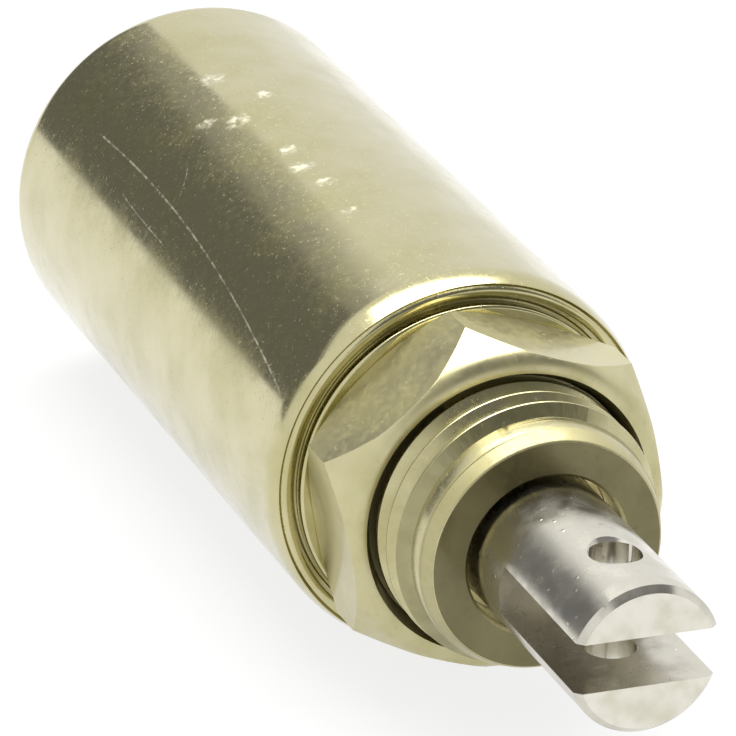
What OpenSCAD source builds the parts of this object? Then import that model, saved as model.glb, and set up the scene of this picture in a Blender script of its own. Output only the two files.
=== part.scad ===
// Tubular push-pull solenoid with a threaded mounting neck and a clevis plunger.
// +X runs along the axis towards the clevis, +Z is up and the clevis hole is vertical.
// The origin is on the axis, in the plane of the case's front lip. Sizes are in millimetres.

/* [Case] */
// Outside diameter of the drawn case
case_d = 25.4; // [24:0.1:34]
// Length from the front lip to the rear face
case_len = 51.4; // [46:0.1:70]
// Thickness of the case's tube
case_wall = 0.95; // [0.8:0.05:1.3]
// Thickness of the case's closed rear end
case_floor = 1.2; // [0.9:0.1:1.8]
// Outer radius between the tube and the rear end
rear_round = 1.9; // [1.4:0.1:2.4]
// Axial thickness of the lip that is rolled over the front end piece
lip_t = 0.9; // [0.7:0.05:1.3]
// How far the lip is turned in from the inside of the tube
lip_turn = 0.2; // [0.1:0.05:0.5]
// Outer radius of the shoulder at the lip
lip_round = 0.8; // [0.4:0.05:0.9]

/* [Front end piece] */
// Thickness of the steel plug behind the lip
plug_t = 6; // [4:0.1:8]
// Height of the raised washer seat in front of the plug's shoulder
seat_rise = 0.35; // [0.1:0.05:0.5]
// Width of the step between the lip's edge and the raised washer seat
seat_inset = 0.25; // [0.1:0.05:0.4]
// Outside diameter of the thread, 11/16 inch
thread_d = 17.46; // [15.8:0.01:17.6]
// Distance from the lip to the end of the full thread
thread_end = 10.2; // [9.2:0.1:11]
// Distance from the lip to the neck's front face
neck_len = 13.2; // [12.6:0.1:18]
// Diameter of the plain pilot in front of the thread
pilot_d = 15.9; // [14.2:0.05:15.9]
// 45 degree bevel round the front face
pilot_bevel = 0.45; // [0.2:0.05:0.6]
// 45 degree bevel at the mouth of the bore
mouth_bevel = 0.18; // [0.1:0.02:0.4]

/* [Mounting hardware] */
// How far the mounting washer's edge stays inside its seat
washer_inset = 0.25; // [0:0.05:0.6]
// Thickness of the mounting washer
washer_t = 0.8; // [0.5:0.05:1.2]
// How far the hex nut's corners stay inside the case's side; 13/16 inch across flats at 0.78
nut_inset = 0.78; // [0.5:0.02:1]
// Thickness of the nut
nut_t = 6.85; // [5:0.05:7.5]
// Width of the bevel at the middle of each flat
nut_edge = 0.06; // [0.04:0.01:0.3]
// Angle of the front corner bevel from the nut's face
nut_front_angle = 58; // [30:1:63]
// Angle of the rear corner bevel from the nut's face
nut_rear_angle = 44; // [30:1:60]
// Width of the 45 degree countersinks in the nut
nut_sink = 0.6; // [0.3:0.05:0.8]
// Turn of the nut about the axis when it is tight
nut_turn = 11.5; // [0:0.5:60]

/* [Plunger] */
// Diameter of the plunger, 3/8 inch
plunger_d = 9.525; // [8.5:0.005:9.6]
// How far the seated plunger stands out of the neck
plunger_out = 15.05; // [13.5:0.05:22]
// Length of the plunger
plunger_len = 58; // [50:0.5:66]
// Bevel round the plunger's clevis end
plunger_bevel = 0.4; // [0.2:0.05:0.6]
// Width of the clevis slot, 1/8 inch
slot_w = 3.18; // [2.4:0.02:4]
// Depth of the clevis slot
slot_depth = 11.2; // [9.5:0.1:12.5]
// Diameter of the clevis hole
hole_d = 3.26; // [2.4:0.02:3.6]
// Distance from the clevis end to the hole
hole_back = 5.4; // [4.4:0.1:6]
// Countersink round each end of the clevis hole
hole_bevel = 0.25; // [0.1:0.05:0.4]
// Length of the plunger's cone
cone_len = 3.4; // [2.4:0.1:4]
// Diameter of the flat at the cone's tip
cone_tip_d = 5.2; // [5:0.1:6]

/* [Push rod] */
// Diameter of the push rod, 1/8 inch
rod_d = 3.175; // [2.8:0.005:3.3]
// Length of the rod pressed into the plunger
rod_grip = 8; // [5:0.5:12]
// Travel of the plunger from its seat to the retaining ring's stop
stroke = 12.7; // [8:0.1:16]
// Length of the rod beyond its retaining ring
rod_tip = 3.2; // [2:0.1:6]
// Bevel at the rod's tip
rod_bevel = 0.3; // [0.1:0.05:0.5]
// Thickness of the retaining ring
ring_t = 0.64; // [0.4:0.02:0.9]
// Outside diameter of the retaining ring
ring_d = 6.4; // [5.8:0.1:7]
// Depth of the ring's groove in the rod
groove_depth = 0.35; // [0.2:0.05:0.5]

/* [Pole and rear end] */
// Thickness of the flux plate inside the rear end
flux_t = 2.6; // [2.2:0.1:4]
// Diameter of the pole piece's shoulder, sunk in the flux plate
shoulder_d = 10.8; // [10.6:0.1:11]
// Thickness of the shoulder
shoulder_t = 1.6; // [1:0.1:2]
// Diameter of the pole piece's stub through the case
stub_d = 7; // [6.6:0.1:7.4]
// Diameter of the stub's staked head
stake_d = 8.6; // [8.2:0.1:9]
// Height of the staked head
stake_h = 0.7; // [0.4:0.05:1]
// Outside diameter of the bronze bush
bush_d = 4.6; // [4.2:0.05:5]
// Length of the bush inside the pole piece
bush_len = 6; // [4:0.1:8]
// Diameter of the bush's collar
bush_collar_d = 6; // [5.4:0.1:6.4]
// Thickness of the bush's collar
bush_collar_t = 0.5; // [0.3:0.05:0.8]
// Thickness of the washer that keeps the plunger off the pole
shim_t = 0.4; // [0.2:0.05:0.6]

/* [Lead exits] */
// Half the angle between the two grommets, about straight down
lead_angle = 28; // [24:1:60]
// Bore of a grommet
lead_d = 1.6; // [1:0.1:2]
// Diameter of a grommet's neck in the case
grommet_neck_d = 3.1; // [2.8:0.1:3.3]
// Diameter of a grommet's outer flange
grommet_flange_d = 4.8; // [4.4:0.1:4.9]
// Thickness of a grommet's outer flange
grommet_flange_t = 0.9; // [0.6:0.05:1.3]
// Diameter of a grommet's inner flange
grommet_inner_d = 4.4; // [3.6:0.1:4.6]
// Thickness of a grommet's inner flange
grommet_inner_t = 0.8; // [0.5:0.05:1.2]

/* [Coil] */
// Wall of the brass guide tube
tube_wall = 0.36; // [0.3:0.02:0.5]
// Wall of the bobbin's tube
bobbin_wall = 0.8; // [0.5:0.05:1.2]
// Thickness of each bobbin flange
bobbin_flange = 1; // [0.7:0.05:1.5]
// How far the winding stays inside the bobbin's flanges
coil_inset = 1.36; // [0.6:0.02:3]
// Thickness of the tape round the winding
wrap_t = 0.25; // [0.1:0.05:0.4]
// Thickness of each insulating washer
insulator_t = 0.4; // [0.2:0.05:0.8]
// Height of the conical spring washer
spring_h = 0.9; // [0.6:0.05:1.2]
// Thickness of the spring washer's steel
spring_t = 0.35; // [0.2:0.05:0.5]
// How far the guide tube stops behind the neck's face
tube_back = 3; // [1.5:0.1:5]

/* [Hidden] */
$fn = 96;

// Fits, all radial: pressed or seated pieces, running pairs and pieces that pass freely
fixed_gap = 0.02;
run_gap = 0.05;
free_gap = 0.2;
// Axial gap between two faces that part when the mechanism moves
rest_gap = 0.03;
// Overhang of a cutting shape past the face that it opens
cut = 1;

// Radii
case_r = case_d / 2;
inner_r = case_r - case_wall;
lip_r = inner_r - lip_turn;
seat_r = lip_r - seat_inset;
thread_r = thread_d / 2;
pilot_r = pilot_d / 2;
plunger_r = plunger_d / 2;
tube_in_r = plunger_r + run_gap;
tube_out_r = tube_in_r + tube_wall;
tube_seat_r = tube_out_r + fixed_gap;
rod_r = rod_d / 2;
bobbin_in_r = tube_seat_r;
bobbin_out_r = bobbin_in_r + bobbin_wall;
flange_r = inner_r - free_gap;
coil_r = flange_r - coil_inset;
shoulder_r = shoulder_d / 2;
// The lead exits lie midway between the pole's shoulder and the round of the rear end
lead_ring = (shoulder_r + case_r - rear_round) / 2;

// Stations along the axis, from front to rear
clevis_x = neck_len + plunger_out;
shoulder_x = -lip_t;
seat_x = shoulder_x + seat_rise;
nut_x = seat_x + washer_t;
plug_x = shoulder_x - plug_t;
bobbin_front_x = plug_x - insulator_t;
floor_x = -case_len + case_floor;
flux_x = floor_x + flux_t;
bobbin_rear_x = flux_x + spring_h + insulator_t;
tube_front_x = neck_len - tube_back;
hole_x = clevis_x - hole_back;
slot_x = clevis_x - slot_depth;
tail_x = clevis_x - plunger_len;
pole_seat_x = tail_x - rest_gap - shim_t - rest_gap;
pole_flange_x = floor_x + shoulder_t;
stake_x = -case_len - stake_h;
bush_x = stake_x - bush_collar_t;
ring_x = bush_x - rest_gap - stroke;
rod_end_x = ring_x - ring_t - rod_tip;

// A profile of [radius, station] points turned about the X axis
module turned(points) rotate([0, 90, 0]) rotate_extrude() polygon(points);

// A ring between two radii and two stations
module ring(r_in, r_out, x_from, x_to)
    turned([[r_in, x_from], [r_out, x_from], [r_out, x_to], [r_in, x_to]]);

// A round hole or pin of radius r along the X axis
module round_x(r, x_from, x_to)
    translate([x_from, 0, 0]) rotate([0, 90, 0]) cylinder(r = r, h = x_to - x_from);

// What a 2D radius r takes off a corner; toward points from the corner into the material
module corner_waste(corner, r, toward)
    translate(corner) difference() {
        translate([toward.x > 0 ? -cut : -r, toward.y > 0 ? -cut : -r]) square(r + cut);
        translate([toward.x * r, toward.y * r]) circle(r = r);
    }

// A child on the axis of a lead exit; side is -1 for the left and 1 for the right, seen from the front
module at_lead(side) rotate([side * lead_angle, 0, 0]) translate([0, 0, -lead_ring]) children();

// Drawn steel can with its mouth rolled over the front end piece
module case() color("#C8C08C") difference() {
    rotate([0, 90, 0]) rotate_extrude() difference() {
        translate([0, -case_len]) square([case_r, case_len]);
        translate([0, floor_x]) square([inner_r, -lip_t - floor_x]);
        translate([0, -lip_t - cut]) square([lip_r, lip_t + 2 * cut]);
        corner_waste([case_r, -case_len], rear_round, [-1, 1]);
        corner_waste([case_r, 0], lip_round, [-1, -1]);
    }
    round_x(stub_d / 2 + fixed_gap, -case_len - cut, floor_x + cut);
    for (side = [-1, 1])
        at_lead(side) round_x(grommet_neck_d / 2 + fixed_gap, -case_len - cut, floor_x + cut);
}

// Steel plug with the raised washer seat, the mounting neck and the bore for the guide tube
module end_piece() color("#BDB583") turned([
    [tube_seat_r, plug_x], [inner_r - fixed_gap, plug_x], [inner_r - fixed_gap, shoulder_x],
    [seat_r, shoulder_x], [seat_r, seat_x], [thread_r, seat_x], [thread_r, thread_end],
    [pilot_r, thread_end + thread_r - pilot_r], [pilot_r, neck_len - pilot_bevel],
    [pilot_r - pilot_bevel, neck_len], [tube_seat_r + mouth_bevel, neck_len],
    [tube_seat_r, neck_len - mouth_bevel]]);

// Plain washer between the seat and the nut
module mounting_washer() color("#C4BC8A")
    ring(thread_r + free_gap, seat_r - washer_inset, seat_x, nut_x);

// Hex nut with steep bevels on its corners and a countersink at each end of its bore
module mounting_nut() {
    corner_r = case_r - nut_inset;
    face_r = corner_r * cos(30) - nut_edge;
    bevel_w = corner_r + nut_edge - face_r;
    bore_r = thread_r + run_gap;
    color("#CBC391") translate([nut_x, 0, 0]) difference() {
        intersection() {
            rotate([0, 90, 0]) rotate([0, 0, nut_turn]) cylinder(r = corner_r, h = nut_t, $fn = 6);
            turned([[0, 0], [face_r, 0], [face_r + bevel_w, bevel_w * tan(nut_rear_angle)],
                    [face_r + bevel_w, nut_t - bevel_w * tan(nut_front_angle)],
                    [face_r, nut_t], [0, nut_t]]);
        }
        round_x(bore_r, -cut, nut_t + cut);
        turned([[0, -cut], [bore_r + nut_sink + cut, -cut], [bore_r, nut_sink], [0, nut_sink]]);
        turned([[0, nut_t + cut], [bore_r + nut_sink + cut, nut_t + cut], [bore_r, nut_t - nut_sink],
                [0, nut_t - nut_sink]]);
    }
}

// Thin brass tube in which the plunger runs
module guide_tube() color("#C9A24E") ring(tube_in_r, tube_out_r, pole_flange_x, tube_front_x);

// Nylon bobbin with a hole in its rear flange for each end of the winding
module bobbin() color("#E4DFCF") difference() {
    turned([[bobbin_in_r, bobbin_rear_x], [flange_r, bobbin_rear_x],
            [flange_r, bobbin_rear_x + bobbin_flange], [bobbin_out_r, bobbin_rear_x + bobbin_flange],
            [bobbin_out_r, bobbin_front_x - bobbin_flange], [flange_r, bobbin_front_x - bobbin_flange],
            [flange_r, bobbin_front_x], [bobbin_in_r, bobbin_front_x]]);
    for (side = [-1, 1])
        at_lead(side) round_x(lead_d / 2, bobbin_rear_x - cut, bobbin_rear_x + bobbin_flange + cut);
}

// Layered copper winding
module coil() color("#9A4E1F")
    ring(bobbin_out_r + fixed_gap, coil_r, bobbin_rear_x + bobbin_flange, bobbin_front_x - bobbin_flange);

// Tape over the winding
module coil_wrap() color("#E6D36A")
    ring(coil_r + fixed_gap, coil_r + fixed_gap + wrap_t, bobbin_rear_x + bobbin_flange,
         bobbin_front_x - bobbin_flange);

// Fibre washer between the plug and the bobbin
module front_insulator() color("#7E8466") ring(tube_seat_r, flange_r, bobbin_front_x, plug_x);

// Fibre washer behind the bobbin, pierced for the leads
module rear_insulator() color("#7E8466") difference() {
    ring(tube_seat_r, flange_r, bobbin_rear_x - insulator_t, bobbin_rear_x);
    for (side = [-1, 1])
        at_lead(side) round_x(lead_d / 2, bobbin_rear_x - insulator_t - cut, bobbin_rear_x + cut);
}

// Conical spring washer that takes up the play behind the bobbin; it stays inside the lead exits
module spring_washer() {
    spring_in_r = tube_out_r + free_gap;
    spring_out_r = lead_ring - lead_d / 2 - free_gap;
    color("#8F8F8A") turned([
        [spring_in_r, flux_x + spring_h - spring_t], [spring_out_r, flux_x],
        [spring_out_r, flux_x + spring_t], [spring_in_r, flux_x + spring_h]]);
}

// Steel plate that closes the magnetic path, pierced for the pole's shoulder and the leads
module flux_plate() color("#8C8C86") difference() {
    ring(tube_seat_r, inner_r - fixed_gap, floor_x, flux_x);
    round_x(shoulder_r + fixed_gap, floor_x - cut, pole_flange_x);
    for (side = [-1, 1])
        at_lead(side) round_x(grommet_inner_d / 2 + fixed_gap, floor_x - cut, flux_x + cut);
}

// Steel stop with a conical cup for the plunger and a stub staked through the case
module pole_piece() {
    pole_r = tube_in_r - fixed_gap;
    cup_tip_r = cone_tip_d / 2;
    cup_x = pole_seat_x + cone_len;
    rod_way_r = rod_r + free_gap;
    bush_seat_r = bush_d / 2 + fixed_gap;
    bush_end_x = stake_x + bush_len;
    color("#A3A39C") turned([
        [bush_seat_r, stake_x], [stake_d / 2 - stake_h, stake_x], [stake_d / 2, stake_x + stake_h],
        [stub_d / 2, stake_x + stake_h], [stub_d / 2, floor_x], [shoulder_r, floor_x],
        [shoulder_r, pole_flange_x], [pole_r, pole_flange_x], [pole_r, cup_x],
        [cup_tip_r, pole_seat_x], [rod_way_r, pole_seat_x], [rod_way_r, bush_end_x],
        [bush_seat_r, bush_end_x]]);
}

// Collared bronze bush that guides the push rod
module rod_bush() color("#B0823C") turned([
    [rod_r + run_gap, bush_x], [bush_collar_d / 2, bush_x], [bush_collar_d / 2, stake_x],
    [bush_d / 2, stake_x], [bush_d / 2, stake_x + bush_len], [rod_r + run_gap, stake_x + bush_len]]);

// Rubber grommet for one lead, gripping the case's rear end
module grommet(side) color("#2B2B2B") at_lead(side) difference() {
    union() {
        translate([-case_len - grommet_flange_t, 0, 0]) turned([
            [0, 0], [grommet_flange_d / 2 - grommet_flange_t / 2, 0],
            [grommet_flange_d / 2, grommet_flange_t / 2], [grommet_flange_d / 2, grommet_flange_t],
            [0, grommet_flange_t]]);
        round_x(grommet_neck_d / 2, -case_len - fixed_gap, floor_x + fixed_gap);
        round_x(grommet_inner_d / 2, floor_x, floor_x + grommet_inner_t);
    }
    round_x(lead_d / 2, -case_len - grommet_flange_t - cut, floor_x + grommet_inner_t + cut);
}
module grommet_left() grommet(-1);
module grommet_right() grommet(1);

// Nickel-plated plunger: clevis slot and hole at the front, cone and rod socket at the rear
module plunger() {
    ear_r = hole_d / 2 + hole_bevel;
    color("#B9B7AB") difference() {
        turned([[0, tail_x], [cone_tip_d / 2, tail_x], [plunger_r, tail_x + cone_len],
                [plunger_r, clevis_x - plunger_bevel], [plunger_r - plunger_bevel, clevis_x],
                [0, clevis_x]]);
        translate([slot_x, -plunger_r - cut, -slot_w / 2])
            cube([slot_depth + cut, plunger_d + 2 * cut, slot_w]);
        translate([hole_x, 0, -plunger_r - cut]) cylinder(d = hole_d, h = plunger_d + 2 * cut);
        for (flip = [0, 180]) rotate([flip, 0, 0]) translate([hole_x, 0, plunger_r - hole_bevel])
            cylinder(r1 = ear_r - hole_bevel, r2 = ear_r + cut, h = hole_bevel + cut);
        round_x(rod_r + fixed_gap, tail_x - cut, tail_x + rod_grip + free_gap);
    }
}

// Nylon washer on the rod that keeps the plunger from sticking to the pole
module shim() color("#E9E6DA") ring(rod_r + run_gap, cone_tip_d / 2 - free_gap, tail_x - rest_gap - shim_t,
                                    tail_x - rest_gap);

// Stainless push rod with a groove for its retaining ring
module push_rod() {
    groove_r = rod_r - groove_depth;
    color("#D2D3D0") turned([
        [0, rod_end_x], [rod_r - rod_bevel, rod_end_x], [rod_r, rod_end_x + rod_bevel],
        [rod_r, ring_x - ring_t - fixed_gap], [groove_r, ring_x - ring_t - fixed_gap],
        [groove_r, ring_x + fixed_gap], [rod_r, ring_x + fixed_gap],
        [rod_r, tail_x + rod_grip], [0, tail_x + rod_grip]]);
}

// Open retaining ring that stops the stroke against the bush
module retaining_ring() {
    grip_r = rod_r - groove_depth + fixed_gap;
    relief_r = grip_r + 0.35 * (ring_d / 2 - grip_r);
    color("#6E6E6A") translate([ring_x - ring_t, 0, 0]) rotate([0, 90, 0]) linear_extrude(ring_t)
        difference() {
            circle(d = ring_d);
            circle(r = grip_r);
            translate([0, -grip_r]) square([ring_d, 2 * grip_r]);
            for (a = [60, 180, 300]) rotate(a) translate([grip_r, 0]) circle(r = relief_r - grip_r);
        }
}

case();
end_piece();
mounting_washer();
mounting_nut();
guide_tube();
bobbin();
coil();
coil_wrap();
front_insulator();
rear_insulator();
spring_washer();
flux_plate();
pole_piece();
rod_bush();
grommet_left();
grommet_right();
plunger();
shim();
push_rod();
retaining_ring();
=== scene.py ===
"""Looks of a tubular push-pull solenoid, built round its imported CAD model.

Each sub-assembly is a class that models its pieces in millimetres, as by hand, and dresses them.
The pieces are then scaled to metres and ride on the bodies of the CAD model.
"""

import logging
import math
from dataclasses import dataclass, field
from enum import Enum
from typing import Callable, Sequence

import bpy
from mathutils import Matrix, Vector


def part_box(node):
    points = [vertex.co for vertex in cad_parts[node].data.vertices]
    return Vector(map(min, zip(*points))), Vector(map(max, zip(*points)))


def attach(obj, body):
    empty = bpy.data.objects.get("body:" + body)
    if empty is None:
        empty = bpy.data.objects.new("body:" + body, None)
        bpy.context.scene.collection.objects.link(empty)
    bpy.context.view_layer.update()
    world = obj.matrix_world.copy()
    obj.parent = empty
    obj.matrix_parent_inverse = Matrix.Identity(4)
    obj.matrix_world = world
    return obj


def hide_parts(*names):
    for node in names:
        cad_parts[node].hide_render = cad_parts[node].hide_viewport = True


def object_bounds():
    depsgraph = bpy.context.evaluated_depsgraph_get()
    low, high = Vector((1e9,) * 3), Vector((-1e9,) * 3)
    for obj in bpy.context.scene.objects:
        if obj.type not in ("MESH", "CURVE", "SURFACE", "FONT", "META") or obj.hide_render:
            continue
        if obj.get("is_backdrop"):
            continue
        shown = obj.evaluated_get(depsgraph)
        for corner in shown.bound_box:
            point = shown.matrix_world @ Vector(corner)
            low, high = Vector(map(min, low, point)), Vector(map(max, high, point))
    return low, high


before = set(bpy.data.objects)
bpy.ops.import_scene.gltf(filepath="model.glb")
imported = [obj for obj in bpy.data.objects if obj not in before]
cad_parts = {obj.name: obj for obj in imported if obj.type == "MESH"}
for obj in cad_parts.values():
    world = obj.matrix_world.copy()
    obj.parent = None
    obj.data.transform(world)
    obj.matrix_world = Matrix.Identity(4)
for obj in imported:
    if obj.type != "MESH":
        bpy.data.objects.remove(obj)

LOG = logging.getLogger("solenoid")
MM = 0.001

Point = tuple[float, float]


class Body(Enum):
    """Bodies of the CAD model that pieces ride on."""

    HOUSING = "housing"
    WASHER = "washer"
    NUT = "nut"
    ARMATURE = "armature"


class Cut(Enum):
    """Ways to combine a piece with a tool."""

    REMOVE = "DIFFERENCE"
    ADD = "UNION"
    KEEP_COMMON = "INTERSECT"


# ---------------------------------------------------------------- bench: modelling by hand


def only(obj: bpy.types.Object) -> bpy.types.Object:
    """Makes obj the one selected and active object, and returns it."""
    bpy.ops.object.select_all(action="DESELECT")
    obj.select_set(True)
    bpy.context.view_layer.objects.active = obj
    return obj


def lathe(name: str, profile: Sequence[Point], closed: bool = False, facets: int = 192) -> bpy.types.Object:
    """Turns a profile about the X axis, ring by ring.

    Args:
        name: Name of the new object.
        profile: Points (station, radius) in millimetres, from the first ring to the last.
        closed: True for a ring-shaped piece, whose last point joins the first; otherwise both ends
            are capped.
        facets: Number of facets round the axis.

    Returns:
        The new object, in millimetres.
    """
    bpy.ops.object.select_all(action="DESELECT")
    station, radius = profile[0]
    bpy.ops.mesh.primitive_circle_add(
        vertices=facets,
        radius=radius,
        fill_type="NOTHING" if closed else "NGON",
        location=(station, 0, 0),
        rotation=(0, math.pi / 2, 0),
    )
    obj = bpy.context.object
    obj.name = name
    bpy.ops.object.transform_apply(location=True, rotation=True, scale=True)
    bpy.ops.object.mode_set(mode="EDIT")
    bpy.ops.mesh.select_all(action="SELECT")
    for x, r in [*profile[1:], *(profile[:1] if closed else [])]:
        step = {"value": (x - station, 0, 0)}
        if closed:
            bpy.ops.mesh.extrude_edges_move(TRANSFORM_OT_translate=step)
        else:
            bpy.ops.mesh.extrude_region_move(TRANSFORM_OT_translate=step)
        bpy.ops.transform.resize(value=(1, r / radius, r / radius), center_override=(x, 0, 0))
        station, radius = x, r
    bpy.ops.mesh.select_all(action="SELECT")
    bpy.ops.mesh.remove_doubles(threshold=0.0005)
    bpy.ops.mesh.normals_make_consistent(inside=False)
    bpy.ops.object.mode_set(mode="OBJECT")
    return obj


def arc(centre: Point, radius: float, start: float, end: float, steps: int) -> list[Point]:
    """Points of a round stretch of a profile, angles in degrees from +station towards +radius."""
    angles = [math.radians(start + (end - start) * i / steps) for i in range(steps + 1)]
    return [(centre[0] + radius * math.cos(a), centre[1] + radius * math.sin(a)) for a in angles]


def pin(name: str, start: Sequence[float], end: Sequence[float], radius: float, facets: int = 96,
        end_radius: float | None = None) -> bpy.types.Object:
    """Adds a round pin between two points, in millimetres, and returns it; a second radius tapers it."""
    a, b = Vector(start), Vector(end)
    bpy.ops.object.select_all(action="DESELECT")
    bpy.ops.mesh.primitive_cone_add(
        vertices=facets,
        radius1=radius,
        radius2=radius if end_radius is None else end_radius,
        depth=(b - a).length,
        location=(a + b) / 2,
        rotation=(b - a).to_track_quat("Z", "Y").to_euler(),
    )
    obj = bpy.context.object
    obj.name = name
    bpy.ops.object.transform_apply(location=True, rotation=True, scale=True)
    return obj


def block(name: str, low: Sequence[float], high: Sequence[float]) -> bpy.types.Object:
    """Adds a block between two corners, in millimetres, and returns it."""
    bpy.ops.object.select_all(action="DESELECT")
    bpy.ops.mesh.primitive_cube_add(
        size=1,
        location=[(a + b) / 2 for a, b in zip(low, high)],
        scale=[b - a for a, b in zip(low, high)],
    )
    obj = bpy.context.object
    obj.name = name
    bpy.ops.object.transform_apply(location=True, rotation=True, scale=True)
    return obj


def apply_modifiers(obj: bpy.types.Object) -> None:
    """Applies every modifier of obj, in order."""
    only(obj)
    for modifier in list(obj.modifiers):
        bpy.ops.object.modifier_apply(modifier=modifier.name)


def combine(obj: bpy.types.Object, tool: bpy.types.Object, how: Cut) -> bpy.types.Object:
    """Cuts or joins obj with a tool, which is used up.

    Args:
        obj: The piece that is kept.
        tool: The piece that shapes it.
        how: Which volume is left.

    Returns:
        obj.
    """
    modifier = obj.modifiers.new(how.name, "BOOLEAN")
    modifier.operation = how.value
    modifier.solver = "EXACT"
    modifier.object = tool
    apply_modifiers(obj)
    bpy.data.objects.remove(tool)
    return obj


def soften(obj: bpy.types.Object, width: float, angle: float = 30, segments: int = 2) -> bpy.types.Object:
    """Rounds every edge of obj that is sharper than an angle in degrees, and returns obj."""
    modifier = obj.modifiers.new("edges", "BEVEL")
    modifier.width = width
    modifier.segments = segments
    modifier.limit_method = "ANGLE"
    modifier.angle_limit = math.radians(angle)
    modifier.use_clamp_overlap = True
    modifier.miter_outer = "MITER_ARC"
    apply_modifiers(obj)
    return obj


def faces_where(obj: bpy.types.Object, test: Callable[[Vector, Vector], bool], slot_index: int) -> None:
    """Gives a material index to the faces whose centre and normal pass a test."""
    for face in obj.data.polygons:
        if test(face.center, face.normal):
            face.material_index = slot_index


def screw_thread(name: str, low: float, high: float, ridge: Sequence[Point], pitch: float, phase: float,
                 facets: int = 144) -> bpy.types.Object:
    """Winds one ridge profile into a right-hand threaded bar along X.

    Args:
        name: Name of the new object.
        low: Station of the bar's rear end.
        high: Station of its front end.
        ridge: Points (station, radius) of one pitch, starting at station 0.
        pitch: Advance of the thread in one turn.
        phase: Station of a ridge's start in the plane of +Y.
        facets: Number of facets round the axis.

    Returns:
        The closed bar, in millimetres.
    """
    first = math.floor((low - phase) / pitch) - 2
    count = math.ceil((high - low) / pitch) + 4
    chain = [
        (phase + (first + turn) * pitch + x, r) for turn in range(count) for x, r in ridge
    ]
    bpy.ops.object.select_all(action="DESELECT")
    bpy.ops.mesh.primitive_plane_add(size=1)
    obj = bpy.context.object
    obj.name = name
    bpy.ops.object.mode_set(mode="EDIT")
    bpy.ops.mesh.select_all(action="SELECT")
    bpy.ops.mesh.merge(type="CENTER")
    place = Vector((0, 0, 0))
    for index, (x, r) in enumerate(chain):
        goal = Vector((x, r, 0))
        if index == 0:
            bpy.ops.transform.translate(value=goal - place)
        else:
            bpy.ops.mesh.extrude_vertices_move(TRANSFORM_OT_translate={"value": goal - place})
        place = goal
    bpy.ops.object.mode_set(mode="OBJECT")
    modifier = obj.modifiers.new("winding", "SCREW")
    modifier.axis = "X"
    modifier.angle = 2 * math.pi
    modifier.screw_offset = pitch
    modifier.steps = facets
    modifier.render_steps = facets
    modifier.use_merge_vertices = True
    modifier.merge_threshold = 0.0005
    apply_modifiers(obj)
    bpy.ops.object.mode_set(mode="EDIT")
    bpy.ops.mesh.select_all(action="SELECT")
    bpy.ops.mesh.remove_doubles(threshold=0.0005)
    for station, side in ((low, -1), (high, 1)):
        bpy.ops.mesh.select_all(action="SELECT")
        bpy.ops.mesh.bisect(
            plane_co=(station, 0, 0),
            plane_no=(side, 0, 0),
            clear_outer=True,
            use_fill=True,
            threshold=0.00001,
        )
    bpy.ops.mesh.select_all(action="SELECT")
    bpy.ops.mesh.normals_make_consistent(inside=False)
    bpy.ops.object.mode_set(mode="OBJECT")
    return obj


def finish(obj: bpy.types.Object, body: Body, materials: Sequence[bpy.types.Material],
           replaces: str, sharp: float = 35) -> bpy.types.Object:
    """Scales a piece to metres, smooths and dresses it, and hands it to the frame.

    Args:
        obj: The piece, in millimetres.
        body: The body that it rides on.
        materials: Its materials, the main finish first.
        replaces: The CAD node that it stands for.
        sharp: Edges sharper than this angle in degrees stay crisp.

    Returns:
        obj.
    """
    obj.scale = (MM, MM, MM)
    only(obj)
    bpy.ops.object.transform_apply(location=True, rotation=True, scale=True)
    bpy.ops.object.shade_smooth_by_angle(angle=math.radians(sharp))
    weighted = obj.modifiers.new("even", "WEIGHTED_NORMAL")
    weighted.keep_sharp = True
    apply_modifiers(obj)
    obj.data.materials.clear()
    for material in materials:
        obj.data.materials.append(material)
    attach(obj, body.value)
    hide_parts(replaces)
    LOG.info("%s: %d faces, rides on %s", obj.name, len(obj.data.polygons), body.value)
    return obj


# ---------------------------------------------------------------- finishes


def linear(code: str) -> tuple[float, float, float, float]:
    """Turns an sRGB hex colour into the linear colour that a shader takes."""
    channels = [int(code[i : i + 2], 16) / 255 for i in (1, 3, 5)]
    lights = [c / 12.92 if c <= 0.04045 else ((c + 0.055) / 1.055) ** 2.4 for c in channels]
    return (*lights, 1.0)


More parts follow.
